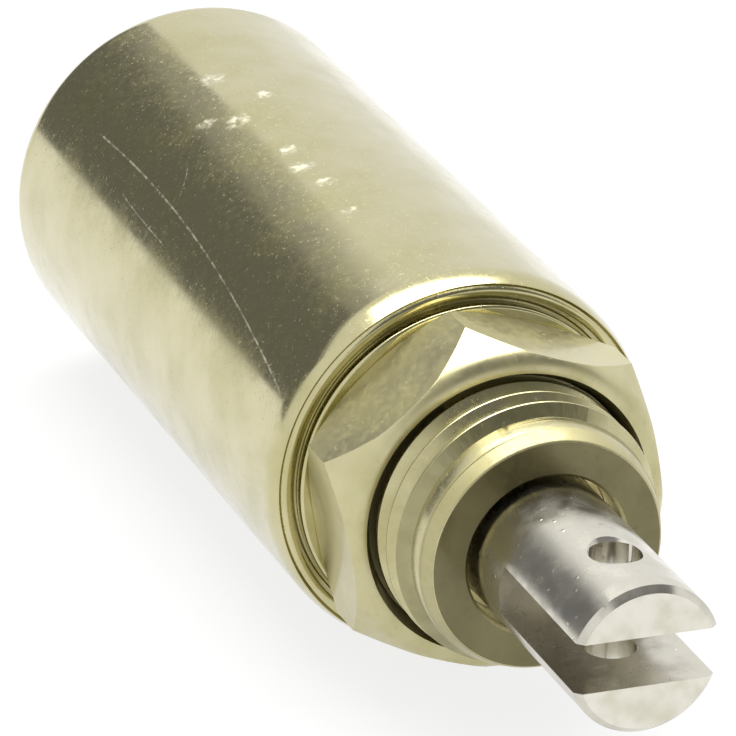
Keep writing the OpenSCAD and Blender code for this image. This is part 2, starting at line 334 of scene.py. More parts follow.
class Shader:
    """A material under construction, whose patterns are laid out in millimetres on Object coordinates."""

    def __init__(self, name: str, colour: str, **constants: float) -> None:
        """Starts a material.

        Args:
            name: Name of the material.
            colour: sRGB hex of its main colour.
            **constants: Values set on the surface's own sockets, such as Metallic.
        """
        self.material = bpy.data.materials.new(name)
        self.material.use_nodes = True
        self.material.diffuse_color = linear(colour)
        self.tree = self.material.node_tree
        self.surface = self.tree.nodes["Principled BSDF"]
        self.surface.inputs["Base Color"].default_value = linear(colour)
        for socket, value in constants.items():
            self.surface.inputs[socket.replace("_", " ")].default_value = value
        here = self.add("ShaderNodeTexCoord").outputs["Object"]
        scaled = self.add("ShaderNodeVectorMath", {0: here, "Scale": 1 / MM}, operation="SCALE")
        self.place = scaled.outputs[0]

    def add(self, kind: str, inputs: dict | None = None, **settings: object) -> bpy.types.Node:
        """Adds one node.

        Args:
            kind: Blender's name of the node.
            inputs: Values or sockets for its inputs, by name or number.
            **settings: Values of the node's own properties.

        Returns:
            The node.
        """
        node = self.tree.nodes.new(kind)
        for name, value in settings.items():
            setattr(node, name, value)
        for key, value in (inputs or {}).items():
            if isinstance(value, bpy.types.Node):
                value = value.outputs[0]
            if isinstance(value, bpy.types.NodeSocket):
                self.tree.links.new(value, node.inputs[key])
            else:
                node.inputs[key].default_value = value
        return node

    def calc(self, operation: str, *values: object, clamp: bool = False) -> bpy.types.NodeSocket:
        """Joins values by one Math operation and returns the result's socket."""
        node = self.add("ShaderNodeMath", dict(enumerate(values)), operation=operation, use_clamp=clamp)
        return node.outputs[0]

    def ramp(self, value: object, low: float, high: float, start: float = 0,
             end: float = 1) -> bpy.types.NodeSocket:
        """Maps a value from low..high smoothly to start..end and returns the result's socket."""
        node = self.add(
            "ShaderNodeMapRange",
            {"Value": value, "From Min": low, "From Max": high, "To Min": start, "To Max": end},
            interpolation_type="SMOOTHSTEP",
        )
        return node.outputs[0]

    def noise(self, size: float, detail: float = 2, where: object = None,
              roughness: float = 0.5) -> bpy.types.NodeSocket:
        """Gives a noise pattern.

        Args:
            size: Size of its patches in millimetres.
            detail: Octaves of finer noise.
            where: Coordinates in millimetres; the piece's own if None.
            roughness: Share of the finer octaves.

        Returns:
            The pattern's socket, from 0 to 1.
        """
        node = self.add(
            "ShaderNodeTexNoise",
            {"Vector": where or self.place, "Scale": 1 / size, "Detail": detail, "Roughness": roughness},
        )
        return node.outputs["Fac"]

    def specks(self, size: float, share: float, softness: float = 0.15) -> bpy.types.NodeSocket:
        """Gives round specks in some cells of a Voronoi pattern.

        Args:
            size: Spacing of the cells in millimetres.
            share: Share of the cells that hold a speck.
            softness: Width of a speck's edge, as a share of its cell.

        Returns:
            The specks' socket, 1 inside a speck and 0 outside.
        """
        cells = self.add(
            "ShaderNodeTexVoronoi", {"Vector": self.place, "Scale": 1 / size}, feature="F1"
        )
        chosen = self.add("ShaderNodeSeparateColor", {0: cells.outputs["Color"]})
        spot = self.ramp(cells.outputs["Distance"], 0.28, 0.28 - softness)
        return self.calc("MULTIPLY", spot, self.calc("LESS_THAN", chosen.outputs[0], share))

    def blend(self, factor: object, first: object, second: object) -> bpy.types.NodeSocket:
        """Mixes two colours, given as hex or sockets, and returns the result's socket."""
        ends = [linear(c) if isinstance(c, str) else c for c in (first, second)]
        node = self.add("ShaderNodeMix", {0: factor, 6: ends[0], 7: ends[1]}, data_type="RGBA")
        return node.outputs[2]

    def axes(self) -> tuple[bpy.types.NodeSocket, bpy.types.NodeSocket, bpy.types.NodeSocket]:
        """Returns sockets of the station, the radius and the angle about the X axis in degrees."""
        parts = self.add("ShaderNodeSeparateXYZ", {0: self.place}).outputs
        flat = self.add("ShaderNodeCombineXYZ", {1: parts[1], 2: parts[2]})
        radius = self.add("ShaderNodeVectorMath", {0: flat}, operation="LENGTH").outputs["Value"]
        angle = self.calc("DEGREES", self.calc("ARCTAN2", parts[2], parts[1]))
        return parts[0], radius, angle

    def rings(self, spacing: float) -> bpy.types.NodeSocket:
        """Gives turning marks: noise that changes with station and radius and not round the axis."""
        station, radius, _ = self.axes()
        where = self.add("ShaderNodeCombineXYZ", {0: station, 1: radius})
        return self.noise(spacing, 3, where.outputs[0], roughness=0.7)

    def spokes(self, count: float) -> bpy.types.NodeSocket:
        """Gives chatter marks: noise that changes round the axis and little along it."""
        _, radius, _ = self.axes()
        flat = self.add("ShaderNodeVectorMath", {0: self.place, 1: (0, 1, 1)}, operation="MULTIPLY")
        unit = self.add("ShaderNodeVectorMath", {0: flat}, operation="NORMALIZE")
        around = self.add(
            "ShaderNodeVectorMath", {0: unit, "Scale": count / (2 * math.pi)}, operation="SCALE"
        )
        lift = self.add("ShaderNodeCombineXYZ", {0: self.calc("MULTIPLY", radius, 1.2)})
        where = self.add("ShaderNodeVectorMath", {0: around, 1: lift}, operation="ADD")
        return self.noise(1, 2, where.outputs[0])

    def bump(self, *layers: tuple[object, float]) -> None:
        """Stacks bumps on the surface, each a height's socket and its depth in millimetres."""
        normal = None
        for height, depth in layers:
            inputs = {"Height": height, "Distance": depth * MM, "Strength": 1.0}
            if normal is not None:
                inputs["Normal"] = normal
            normal = self.add("ShaderNodeBump", inputs).outputs[0]
        self.tree.links.new(normal, self.surface.inputs["Normal"])

    def link(self, socket: str, value: bpy.types.NodeSocket) -> None:
        """Feeds a pattern to one of the surface's sockets."""
        self.tree.links.new(value, self.surface.inputs[socket])


@dataclass(frozen=True)
class Scratch:
    """A fine scratch on the case, from one place to another, bowed sideways at its middle."""

    start: Point
    end: Point
    bow: float = 0.0
    width: float = 0.09

    def mask(self, shader: Shader, station: object, around: object) -> bpy.types.NodeSocket:
        """Draws the scratch on a station and a distance round the case, both in millimetres."""
        run = (self.end[0] - self.start[0], self.end[1] - self.start[1])
        length = math.hypot(*run)
        ux, uy = run[0] / length, run[1] / length
        dx = shader.calc("SUBTRACT", station, self.start[0])
        dy = shader.calc("SUBTRACT", around, self.start[1])
        along = shader.calc("ADD", shader.calc("MULTIPLY", dx, ux), shader.calc("MULTIPLY", dy, uy))
        across = shader.calc("SUBTRACT", shader.calc("MULTIPLY", dy, ux), shader.calc("MULTIPLY", dx, uy))
        share = shader.calc("MULTIPLY", along, 1 / length)
        both = shader.calc("MULTIPLY", share, shader.calc("SUBTRACT", 1, share))
        hump = shader.calc("MULTIPLY", both, 4 * self.bow)
        off = shader.calc("ABSOLUTE", shader.calc("SUBTRACT", across, hump))
        line = shader.ramp(off, self.width, 0.2 * self.width)
        ends = shader.calc("MULTIPLY", shader.ramp(along, 0, 0.6), shader.ramp(along, length, length - 1.2))
        return shader.calc("MULTIPLY", line, ends)


@dataclass(frozen=True)
class ZincPlate:
    """Zinc-plated steel under a thin olive-gold chromate film; the film gives it a glossy top coat."""

    name: str
    tint: str = "#C9C298"
    cloud: str = "#B9B27F"
    roughness: float = 0.17
    unevenness: float = 0.05
    peel: float = 0.0012
    pitting: float = 0.0035
    turned: float = 0.0
    chatter: float = 0.0
    marks: tuple[Scratch, ...] = ()
    scuffs: tuple[tuple[float, float, float], ...] = ()
    radius: float = 12.7

    def build(self) -> bpy.types.Material:
        """Makes the material."""
        s = Shader(self.name, self.tint, Metallic=1.0, Coat_Weight=0.5, Coat_IOR=1.55, Coat_Roughness=0.1)
        patches = s.noise(3.5, 4)
        fine = s.noise(0.5, 3)
        colour = s.blend(s.ramp(patches, 0.25, 0.8), self.tint, self.cloud)
        low, high = self.roughness - self.unevenness, self.roughness + self.unevenness
        rough = s.calc("ADD", s.ramp(patches, 0.3, 0.7, low, high),
                       s.ramp(fine, 0.35, 0.75, -0.5 * self.unevenness, self.unevenness))
        pits = s.ramp(s.noise(0.28, 3, roughness=0.7), 0.6, 0.72)
        rough = s.calc("ADD", rough, s.calc("MULTIPLY", pits, 0.22))
        layers = [(fine, self.peel), (pits, self.pitting)]
        if self.turned:
            layers.append((s.rings(0.18), self.turned))
        if self.chatter:
            layers.append((s.spokes(150), self.chatter))
        wear = None
        if self.marks or self.scuffs:
            station, _, angle = s.axes()
            turn = s.calc("MODULO", s.calc("ADD", angle, 360), 360)
            around = s.calc("MULTIPLY", turn, math.pi / 180 * self.radius)
            for mark in self.marks:
                drawn = mark.mask(s, station, around)
                wear = drawn if wear is None else s.calc("MAXIMUM", wear, drawn)
            ragged = s.noise(0.9, 4, roughness=0.65)
            for x, degrees, size in self.scuffs:
                dx = s.calc("SUBTRACT", station, x)
                dy = s.calc("SUBTRACT", around, math.radians(degrees) * self.radius)
                reach = s.calc("SQRT", s.calc("ADD", s.calc("MULTIPLY", dx, dx), s.calc("MULTIPLY", dy, dy)))
                near = s.ramp(reach, size, 0)
                patch = s.ramp(s.calc("MULTIPLY", near, ragged), 0.28, 0.52)
                wear = patch if wear is None else s.calc("MAXIMUM", wear, patch)
        if wear is not None:
            worn = s.calc("MULTIPLY", wear, s.ramp(s.noise(0.5, 3), 0.35, 0.65, 0.25, 0.8))
            colour = s.blend(worn, colour, "#E2DFCC")
            rough = s.calc("ADD", rough, s.calc("MULTIPLY", worn, 0.35))
            layers.append((worn, 0.004))
        s.link("Base Color", colour)
        s.link("Roughness", rough)
        s.bump(*layers)
        return s.material


@dataclass(frozen=True)
class NickelPlate:
    """Turned steel under bright nickel, with fine specks and light handling wear."""

    name: str = "nickel_plate"
    tint: str = "#D6D2C6"
    shade: str = "#C8C4B8"
    roughness: float = 0.22
    sawn: bool = False

    def build(self) -> bpy.types.Material:
        """Makes the material."""
        s = Shader(self.name, self.tint, Metallic=1.0)
        patches = s.noise(1.6, 4)
        s.link("Base Color", s.blend(s.ramp(patches, 0.35, 0.7), self.tint, self.shade))
        s.link("Roughness", s.ramp(patches, 0.3, 0.7, self.roughness - 0.05, self.roughness + 0.08))
        layers = [(s.noise(0.3, 3), 0.002), (s.specks(0.45, 0.0 if self.sawn else 0.12), 0.01)]
        if self.sawn:
            layers.append((s.noise(0.12, 3), 0.002))
        s.bump(*layers)
        return s.material


@dataclass(frozen=True)
class TurnedMetal:
    """A plain metal as it comes off the lathe or from drawn stock, with rings of turning marks."""

    name: str
    tint: str
    shade: str
    roughness: float = 0.3
    spacing: float = 0.15
    depth: float = 0.002

    def build(self) -> bpy.types.Material:
        """Makes the material."""
        s = Shader(self.name, self.tint, Metallic=1.0)
        patches = s.noise(2, 4)
        s.link("Base Color", s.blend(s.ramp(patches, 0.35, 0.7), self.tint, self.shade))
        s.link("Roughness", s.ramp(patches, 0.3, 0.7, self.roughness - 0.06, self.roughness + 0.08))
        s.bump((s.rings(self.spacing), self.depth))
        return s.material


@dataclass(frozen=True)
class MouldedPolymer:
    """A moulded or pressed polymer with a faint grain."""

    name: str
    tint: str
    shade: str
    roughness: float = 0.5
    grain: float = 0.25
    depth: float = 0.004
    sheen_ior: float = 1.5

    def build(self) -> bpy.types.Material:
        """Makes the material."""
        s = Shader(self.name, self.tint, IOR=self.sheen_ior)
        patches = s.noise(2.5, 4)
        s.link("Base Color", s.blend(s.ramp(patches, 0.3, 0.7), self.tint, self.shade))
        s.link("Roughness", s.ramp(patches, 0.3, 0.7, self.roughness - 0.06, self.roughness + 0.06))
        s.bump((s.noise(self.grain, 3), self.depth))
        return s.material


@dataclass(frozen=True)
class Winding:
    """Enamelled copper wire in close layers; each turn is a ridge round the axis, with painted shade darkening
    the grooves between turns.
    """

    name: str = "copper_winding"
    tint: str = "#A9561F"
    wire: float = 0.32

    def build(self) -> bpy.types.Material:
        """Makes the material."""
        s = Shader(self.name, self.tint, Metallic=0.9, Coat_Weight=1.0, Coat_Roughness=0.1)
        station, radius, _ = s.axes()
        phase = s.calc("MULTIPLY", s.calc("ADD", station, radius), 2 * math.pi / self.wire)
        ridge = s.calc("ABSOLUTE", s.calc("SINE", s.calc("MULTIPLY", phase, 0.5)))
        # painted shade: the colour darkens to a deep brown in the grooves between turns
        s.link("Base Color", s.blend(s.ramp(ridge, 0, 0.5), "#4A200C", self.tint))
        s.surface.inputs["Roughness"].default_value = 0.3
        s.bump((ridge, 0.12))
        return s.material


# ---------------------------------------------------------------- the solenoid


@dataclass
class Sizes:
    """Sizes in millimetres that several pieces share, read from the CAD model where its boxes give them."""

    case_r: float = 0.0
    case_rear: float = 0.0
    neck_len: float = 0.0
    plug_rear: float = 0.0
    plug_r: float = 0.0
    washer_rear: float = 0.0
    washer_front: float = 0.0
    washer_r: float = 0.0
    nut_front: float = 0.0
    plunger_r: float = 0.0
    plunger_tail: float = 0.0
    clevis_end: float = 0.0
    thread_r: float = 8.73
    pitch: float = 25.4 / 16
    thread_phase: float = -0.11

    def read(self) -> "Sizes":
        """Fills in the sizes that the CAD boxes give."""
        case = [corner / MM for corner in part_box("case")]
        plug = [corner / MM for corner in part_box("end_piece")]
        washer = [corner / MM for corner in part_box("mounting_washer")]
        nut = [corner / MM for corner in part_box("mounting_nut")]
        plunger = [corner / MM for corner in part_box("plunger")]
        self.case_r, self.case_rear = case[1].z - 0.001, case[0].x + 0.001
        self.neck_len, self.plug_rear, self.plug_r = plug[1].x, plug[0].x, plug[1].z
        self.washer_rear, self.washer_front, self.washer_r = washer[0].x, washer[1].x, washer[1].z
        self.nut_front = nut[1].x
        self.plunger_r, self.plunger_tail, self.clevis_end = plunger[1].z, plunger[0].x, plunger[1].x
        return self

    def ridge(self, gap: float = 0.0) -> list[Point]:
        """Gives one pitch of the 60 degree thread, moved outwards by a gap in millimetres."""
        height = self.pitch * math.sqrt(3) / 2
        top, root = self.thread_r + gap, self.thread_r - 0.625 * height + gap
        flank = (top - root) * math.tan(math.radians(30))
        crest, valley = self.pitch / 8, self.pitch / 4
        ease = 0.06
        return [
            (0, top - 0.5 * ease),
            (ease, top),
            (crest - ease, top),
            (crest, top - 0.5 * ease),
            (crest + flank, root + ease),
            (crest + flank + 0.4 * valley, root),
            (crest + flank + 0.6 * valley, root),
            (crest + flank + valley, root + ease),
        ]


@dataclass
class DrawnCase:
    """The drawn can, with its mouth rolled over the front end piece."""

    sizes: Sizes
    wall: float = 0.95
    floor: float = 1.2
    rear_round: float = 1.9
    mouth_len: float = 2.0
    mouth_drop: float = 0.42
    lip_thickness: float = 0.9
    lip_r: float = 11.55
    crease_r: float = 12.28
    crease_w: float = 0.3
    crease_depth: float = 0.14
    stub_hole_r: float = 3.52
    lead_hole_r: float = 1.57
    lead_ring: float = 8.1
    lead_angle: float = 28.0
    scratches: tuple[Scratch, ...] = (
        Scratch((-41.5, 31.5), (-2.5, 34.3), -1.35, 0.11),
        Scratch((-34.0, 33.1), (-25.0, 33.4), 0.1, 0.07),
        Scratch((-29.7, 28.5), (-26.9, 31.0), -0.25, 0.09),
    )
    scuffs: tuple[tuple[float, float, float], ...] = (
        (-37.8, 105.4, 2.4),
        (-33.3, 96.0, 1.8),
        (-30.8, 109.0, 2.2),
        (-32.4, 117.0, 2.0),
        (-24.3, 103.4, 1.9),
        (-21.5, 104.5, 2.1),
        (-18.5, 102.0, 1.7),
        (-13.6, 103.3, 1.6),
    )

    def build(self) -> None:
        """Models and dresses the case."""
        z = self.sizes
        inner_r = z.case_r - self.wall
        rear = z.case_rear
        crease_low = self.crease_r - 0.5 * self.crease_w
        crease_high = self.crease_r + 0.5 * self.crease_w
        curve_r = (self.mouth_len**2 + self.mouth_drop**2) / (2 * self.mouth_drop)
        mouth = [
            (-self.mouth_len + x, z.case_r - curve_r + math.sqrt(curve_r**2 - x * x))
            for x in (0, 0.35, 0.7, 1.05, 1.35, 1.6)
        ]
        profile = [
            (rear, self.stub_hole_r),
            *arc((rear + self.rear_round, z.case_r - self.rear_round), self.rear_round, 180, 90, 10),
            *[(rear * (1 - share), z.case_r) for share in (0.25, 0.5, 0.75)],
            *mouth,
            (-0.25, crease_high - 0.04),
            (-0.16, crease_high - 0.1),
            (-0.16 - self.crease_depth, self.crease_r),
            (-0.1, crease_low),
            (-0.03, crease_low - 0.07),
            (0.0, crease_low - 0.18),
            (0.0, self.lip_r + 0.18),
            (-0.06, self.lip_r + 0.05),
            (-0.2, self.lip_r),
            (-self.lip_thickness, self.lip_r),
            (-self.lip_thickness, inner_r),
            (rear + self.floor, inner_r),
            (rear + self.floor, self.stub_hole_r),
        ]
        shell = lathe("case_shell", profile, closed=True, facets=256)
        for side in (-1, 1):
            turn = math.radians(self.lead_angle)
            y, up = side * self.lead_ring * math.sin(turn), -self.lead_ring * math.cos(turn)
            drill = pin("drill", (rear - 1, y, up), (rear + self.floor + 1, y, up), self.lead_hole_r, 48)
            combine(shell, drill, Cut.REMOVE)
        finish_plate = ZincPlate("zinc_bright", marks=self.scratches, scuffs=self.scuffs, radius=z.case_r)
        finish(shell, Body.HOUSING, [finish_plate.build()], "case", 40)


@dataclass
class FrontEnd:
    """The front end piece: a steel plug with a washer seat and a threaded mounting neck."""

    sizes: Sizes
    shoulder_x: float = -0.9
    seat_r: float = 11.3
    seat_x: float = -0.55
    thread_end: float = 10.2
    pilot_r: float = 7.95
    pilot_bevel: float = 0.36
    pilot_bevel_len: float = 1.15
    rim_round: float = 0.2
    bore_r: float = 5.1925
    mouth_bevel: float = 0.18

    def build(self) -> None:
        """Models and dresses the end piece."""
        z = self.sizes
        plug = lathe("front_plug", [
            (z.plug_rear, z.plug_r - 0.15), (z.plug_rear + 0.15, z.plug_r), (self.shoulder_x, z.plug_r),
            (self.shoulder_x, self.seat_r), (self.seat_x - 0.1, self.seat_r), (self.seat_x, self.seat_r - 0.1),
        ])
        bar = screw_thread("bar", self.seat_x - 1, z.neck_len - 1, z.ridge(), z.pitch, z.thread_phase)
        slope = z.thread_r - self.pilot_r
        stock = lathe("stock", [
            (self.seat_x - 2, z.thread_r + 1), (self.thread_end - 1, z.thread_r + 1),
            (self.thread_end + slope + 0.02, self.pilot_r - 0.02), (z.neck_len, self.pilot_r - 0.02),
        ])
        combine(bar, stock, Cut.KEEP_COMMON)
        pilot = lathe("pilot", [
            (self.thread_end - 2, 7.0), (self.thread_end + slope - 0.4, self.pilot_r),
            (z.neck_len - self.pilot_bevel_len, self.pilot_r),
            *arc((z.neck_len - self.rim_round, self.pilot_r - self.pilot_bevel - self.rim_round),
                 self.rim_round, 70, 0, 5),
        ])
        combine(bar, pilot, Cut.ADD)
        combine(plug, bar, Cut.ADD)
        bore = lathe("bore", [
            (z.plug_rear - 1, self.bore_r), (z.neck_len - self.mouth_bevel, self.bore_r),
            (z.neck_len + 1, self.bore_r + self.mouth_bevel + 1),
        ])
        combine(plug, bore, Cut.REMOVE)
        bright = ZincPlate("zinc_turned", cloud="#AFA877", roughness=0.3, turned=0.0015)
        rough = ZincPlate("zinc_chattered", tint="#A8A27A", cloud="#8F8960", roughness=0.36, chatter=0.02)
        # painted shade: the neck's front face gets a dark olive copy of the plate, standing in for the shadow
        # that this face sees; the plating itself is the same all over
        face = ZincPlate("zinc_faced_painted_shade", tint="#7A7350", cloud="#6E6845", roughness=0.36, turned=0.002)
        taper = ZincPlate("zinc_tapered", tint="#BDB689", cloud="#B2AB7C", roughness=0.55, turned=0.001)
        plates = [plate.build() for plate in (bright, rough, face, taper)]
        finish(plug, Body.HOUSING, plates, "end_piece", 30)
        taper_x = (z.neck_len - self.pilot_bevel_len - 0.01) * MM
        faces_where(plug, lambda c, n: c.x > taper_x and n.y * c.y + n.z * c.z > 0 and n.x < 0.9, 3)
        start, end = (self.thread_end - 0.05) * MM, (self.thread_end + slope + 0.05) * MM
        faces_where(plug, lambda c, n: start < c.x < end and 0.3 < n.x < 0.95, 1)
        # the neck's front face takes the dark olive copy: painted shade
        faces_where(plug, lambda c, n: c.x > (z.neck_len - 0.01) * MM and n.x > 0.9, 2)


@dataclass
class MountingHardware:
    """The plain washer and the hex nut on the neck."""

    sizes: Sizes
    washer_bore_r: float = 8.93
    corner_inset: float = 0.78
    face_edge: float = 0.06
    front_angle: float = 58.0
    rear_angle: float = 44.0
    sink: float = 0.6
    sink_len: float = 1.14
    turn: float = 41.5
    gap: float = 0.05
    seat_gap: float = 0.01
    crown: tuple[Point, ...] = (
        (0.86, 10.79), (0.62, 10.66), (0.4, 10.48), (0.22, 10.26), (0.09, 9.98), (0.02, 9.7), (-0.001, 9.45),
    )

    def build_washer(self) -> None:
        """Models the washer: stamped, so one of its edges is rounder than the other."""
        z = self.sizes
        washer = lathe("flat_washer", [
            (z.washer_rear, self.washer_bore_r), (z.washer_rear, z.washer_r - 0.08),
            (z.washer_rear + 0.08, z.washer_r),
            *arc((z.washer_front - 0.22, z.washer_r - 0.22), 0.22, 90, 0, 5),
            (z.washer_front, self.washer_bore_r),
        ], closed=True)
        plate = ZincPlate("zinc_stamped", roughness=0.2)
        finish(washer, Body.WASHER, [plate.build()], "mounting_washer")

    def build_nut(self) -> None:
        """Models the nut: a hexagon cut by two cones, tapped, with softened edges."""
        z = self.sizes
        corner_r = z.case_r - self.corner_inset
        face_r = corner_r * math.cos(math.radians(30)) - self.face_edge
        reach = corner_r + 0.3 - face_r
        back, front = z.washer_front + self.seat_gap, z.nut_front
        nut = lathe("hex_nut", [(back, corner_r), (front, corner_r)], facets=6)
        corner = nut.data.vertices[0].co
        nut.rotation_euler.x = math.radians(self.turn) - math.atan2(corner.z, corner.y)
        only(nut)
        bpy.ops.object.transform_apply(location=True, rotation=True, scale=True)
        steep = math.tan(math.radians(self.front_angle))
        cones = lathe("cones", [
            (back - 0.001, face_r), (back + reach * math.tan(math.radians(self.rear_angle)), face_r + reach),
            (front - reach * steep, face_r + reach),
            *[(front - drop, radius) for drop, radius in self.crown],
        ], facets=240)
        combine(nut, cones, Cut.KEEP_COMMON)
        bore_r = z.thread_r + self.gap
        sink_r = bore_r + self.sink
        for station, side in ((back, -1), (front, 1)):
            sink = lathe("sink", [
                (station - side * self.sink_len, bore_r), (station - side * 0.1, sink_r - 0.05),
                (station + side, sink_r + 0.3),
            ])
            combine(nut, sink, Cut.REMOVE)
        combine(nut, pin("drill", (back - 1, 0, 0), (front + 1, 0, 0), z.thread_r - 0.6, 144), Cut.REMOVE)
        soften(nut, 0.1, 20, 2)
        tap = screw_thread("tap", back - 1, front + 1, z.ridge(self.gap), z.pitch, z.thread_phase)
        combine(nut, tap, Cut.REMOVE)
        plate = ZincPlate("zinc_satin", tint="#CDC69C", cloud="#C0B988", roughness=0.4, pitting=0.001)
        # painted shade: faces inside the nut's bore get a darker copy of the plate, standing in for the shadow
        # in the gap round the thread
        shaded = ZincPlate("zinc_in_bore_painted_shade", tint="#8C8560", cloud="#7A7350", roughness=0.5)
        finish(nut, Body.NUT, [plate.build(), shaded.build()], "mounting_nut", 25)
        inside = (sink_r + 0.1) * MM
        # the inward faces of the bore take the darker copy: painted shade
        faces_where(nut, lambda c, n: math.hypot(c.y, c.z) < inside and n.y * c.y + n.z * c.z < 0, 1)

    def build(self) -> None:
        """Models and dresses the washer and the nut."""
        self.build_washer()
        self.build_nut()


@dataclass
class Armature:
    """The plunger with its clevis, and the push rod pressed into it with its retaining ring."""

    sizes: Sizes
    end_bevel: float = 0.4
    slot_w: float = 3.18
    slot_depth: float = 11.2
    hole_r: float = 1.63
    hole_back: float = 5.4
    hole_bevel: float = 0.25
    sink_reach: float = 1.5
    edge: float = 0.13
    cone_len: float = 3.4
    cone_tip_r: float = 2.6
    rod_hole_r: float = 1.6075
    rod_hole_depth: float = 8.2
    rod_r: float = 1.5875
    rod_grip: float = 8.0
    rod_bevel: float = 0.3
    ring_t: float = 0.64
    ring_r: float = 3.2
    groove_depth: float = 0.35
    rod_tip: float = 3.2

    def build_plunger(self) -> None:
        """Models the plunger: turned, slotted, cross-drilled and countersunk."""
        z = self.sizes
        plunger = lathe("clevis_plunger", [
            (z.plunger_tail, self.cone_tip_r), (z.plunger_tail + self.cone_len, z.plunger_r),
            *[(z.plunger_tail + 10 + 6 * i, z.plunger_r) for i in range(6)],
            *[(z.clevis_end - 14 + 1.5 * i, z.plunger_r) for i in range(9)],
            (z.clevis_end - self.end_bevel, z.plunger_r), (z.clevis_end, z.plunger_r - self.end_bevel),
        ], facets=144)
        slot_x = z.clevis_end - self.slot_depth
        side = z.plunger_r + 1
        slot = block("slot", (slot_x, -side, -self.slot_w / 2), (z.clevis_end + 1, side, self.slot_w / 2))
        combine(plunger, slot, Cut.REMOVE)
        hole_x = z.clevis_end - self.hole_back
        combine(plunger, pin("hole", (hole_x, 0, -side), (hole_x, 0, side), self.hole_r), Cut.REMOVE)
        combine(plunger, pin("socket", (z.plunger_tail - 1, 0, 0),
                             (z.plunger_tail + self.rod_hole_depth, 0, 0), self.rod_hole_r, 64), Cut.REMOVE)
        mouth_r, reach = self.hole_r + self.hole_bevel, self.sink_reach
        for side in (1, -1):
            inner, outer = side * (z.plunger_r - reach), side * (z.plunger_r + reach)
            tool = pin("countersink", (hole_x, 0, inner), (hole_x, 0, outer), mouth_r - reach,
                       end_radius=mouth_r + reach)
            combine(plunger, tool, Cut.REMOVE)
        soften(plunger, self.edge, 25, 3)
        # The sawn end faces are rougher and without specks, as cut; their near-white tint is painted light,
        # brighter than the nickel, for the light these faces catch
        finish_plate, cut_face_painted_light = NickelPlate(), NickelPlate("nickel_sawn_painted_light", "#FBF8EE", "#F3F0E2", 0.72, True)
        finish(plunger, Body.ARMATURE, [finish_plate.build(), cut_face_painted_light.build()], "plunger", 30)
        # the end faces take the near-white copy: painted light
        faces_where(plunger, lambda c, n: c.x > (z.clevis_end - 0.02) * MM and n.x > 0.95, 1)

    def build_rod(self) -> None:
        """Models the push rod with its ring groove."""
        z = self.sizes
        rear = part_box("push_rod")[0].x / MM
        groove = rear + self.rod_tip
        rod = lathe("push_rod_ground", [
            (rear, self.rod_r - self.rod_bevel), *arc((rear + self.rod_bevel, self.rod_r - self.rod_bevel),
                                                      self.rod_bevel, 160, 90, 5),
            (groove - 0.02, self.rod_r), (groove - 0.02, self.rod_r - self.groove_depth),
            (groove + self.ring_t + 0.02, self.rod_r - self.groove_depth),
            (groove + self.ring_t + 0.02, self.rod_r), (z.plunger_tail + self.rod_grip, self.rod_r),
        ], facets=96)
        soften(rod, 0.04, 40, 2)
        steel = TurnedMetal("stainless_ground", "#CFCFCB", "#C0C0BC", 0.16, 0.08, 0.0006)
        finish(rod, Body.ARMATURE, [steel.build()], "push_rod")

    def build_ring(self) -> None:
        """Models the open retaining ring."""
        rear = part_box("retaining_ring")[0].x / MM
        grip_r = self.rod_r - self.groove_depth + 0.02
        relief_r = 0.35 * (self.ring_r - grip_r)
        ring = pin("e_ring", (rear, 0, 0), (rear + self.ring_t, 0, 0), self.ring_r)
        combine(ring, pin("grip", (rear - 1, 0, 0), (rear + 2, 0, 0), grip_r), Cut.REMOVE)
        combine(ring, block("mouth", (rear - 1, -grip_r, -self.ring_r - 1), (rear + 2, grip_r, 0)), Cut.REMOVE)
        for degrees in (60, 180, 300):
            a = math.radians(degrees)
            y, up = grip_r * math.sin(a), -grip_r * math.cos(a)
            combine(ring, pin("relief", (rear - 1, y, up), (rear + 2, y, up), relief_r, 32), Cut.REMOVE)
        soften(ring, 0.05, 40, 2)
        steel = TurnedMetal("spring_steel", "#55544F", "#403F3B", 0.38, 0.3, 0.001)
        finish(ring, Body.ARMATURE, [steel.build()], "retaining_ring")

    def build(self) -> None:
        """Models and dresses the plunger, the rod and the ring."""
        self.build_plunger()
        self.build_rod()
        self.build_ring()


@dataclass
class InnerWorks:
    """The CAD solids that keep their own shape, each with its finish."""

    finishes: dict[str, object] = field(default_factory=lambda: {
        "guide_tube": TurnedMetal("brass_tube", "#DDD3A8", "#CDC08C", 0.25, 0.1, 0.0004),
        "bobbin": MouldedPolymer("nylon_natural", "#E2DDCB", "#D6D0BB", 0.45),
        "coil": Winding(),
        "coil_wrap": MouldedPolymer("polyester_tape", "#DDC24A", "#CFB23A", 0.25, 1.5, 0.01),
        "front_insulator": MouldedPolymer("vulcanised_fibre", "#6E7458", "#5F654B", 0.6, 0.15, 0.01),
        "rear_insulator": MouldedPolymer("vulcanised_fibre_rear", "#6E7458", "#5F654B", 0.6, 0.15, 0.01),
        "spring_washer": TurnedMetal("spring_steel_washer", "#5A5954", "#44433F", 0.35),
        "flux_plate": TurnedMetal("bare_steel_plate", "#9C9B95", "#86857F", 0.35, 0.25, 0.003),
        "pole_piece": TurnedMetal("bare_steel_pole", "#A7A69F", "#8E8D86", 0.3, 0.2, 0.003),
        "rod_bush": TurnedMetal("sintered_bronze", "#B07A3A", "#8F5F29", 0.5, 0.2, 0.002),
        "grommet_left": MouldedPolymer("rubber", "#232322", "#2C2C2A", 0.62, 0.2, 0.004),
        "grommet_right": MouldedPolymer("rubber_right", "#232322", "#2C2C2A", 0.62, 0.2, 0.004),
        "shim": MouldedPolymer("nylon_shim", "#E9E6DA", "#DEDACB", 0.4),
    })

    def build(self) -> None:
        """Gives each solid its finish."""
        for node, finish_of in self.finishes.items():
            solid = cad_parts[node]
            solid.data.materials.clear()
            solid.data.materials.append(finish_of.build())
            LOG.info("%s: dressed", node)


# ---------------------------------------------------------------- the studio


